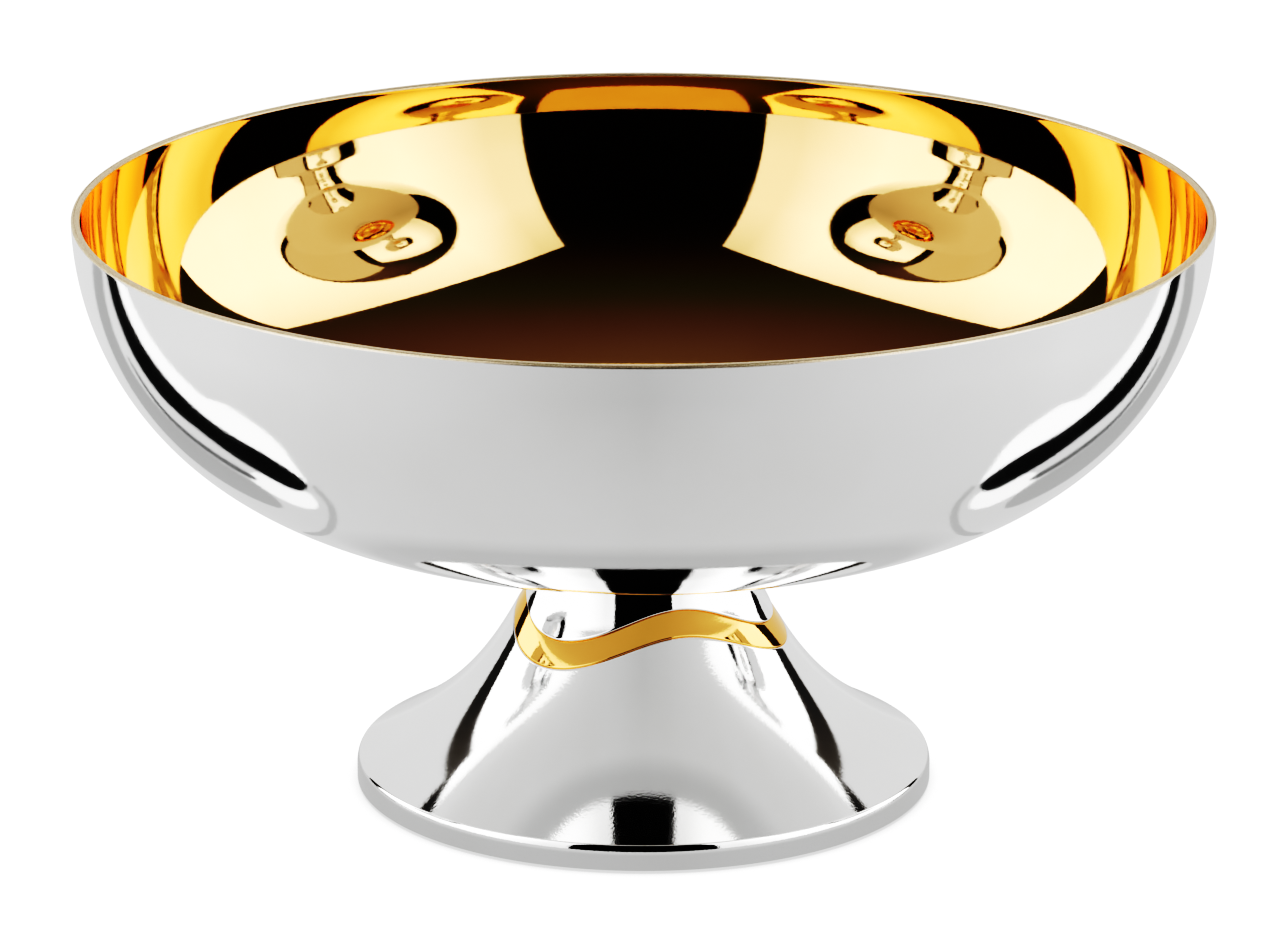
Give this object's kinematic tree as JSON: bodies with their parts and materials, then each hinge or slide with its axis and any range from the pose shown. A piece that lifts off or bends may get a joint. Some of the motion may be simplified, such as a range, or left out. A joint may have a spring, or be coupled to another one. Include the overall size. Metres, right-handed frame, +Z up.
{
  "type": "punch bowl",
  "caption": "Round footed punch bowl with a mirror silver outside, a gilt inside, a spreading hollow foot and a gilt wave band around its neck.",
  "frame": {"origin": "centre of the circle that the foot stands on, at the underside of the felt ring", "axes": "+Z up along the axis of the bowl; -Y is the side that the picture shows"},
  "size_m": [0.3, 0.3, 0.1576],
  "materials": {
    "silver": "silver plate, mirror polished",
    "gilt": "gold plate, mirror polished",
    "brass": "plain turned brass, hidden inside the foot",
    "steel": "zinc-plated steel",
    "rubber": "thin black rubber",
    "felt": "dark grey wool felt"
  },
  "bodies": {
    "root": {"bowl_shell": "silver", "gilt_liner": "gilt", "bowl_seat": "brass", "centre_stud": "steel", "neck_gasket": "rubber", "neck_collar": "silver", "wave_band": "gilt", "core_sleeve": "brass", "foot_flare": "silver", "foot_edge_ring": "silver", "clamp_plate": "brass", "flat_washer": "steel", "spring_washer": "steel", "hex_nut": "steel", "base_felt": "felt"}
  },
  "joints": []
}
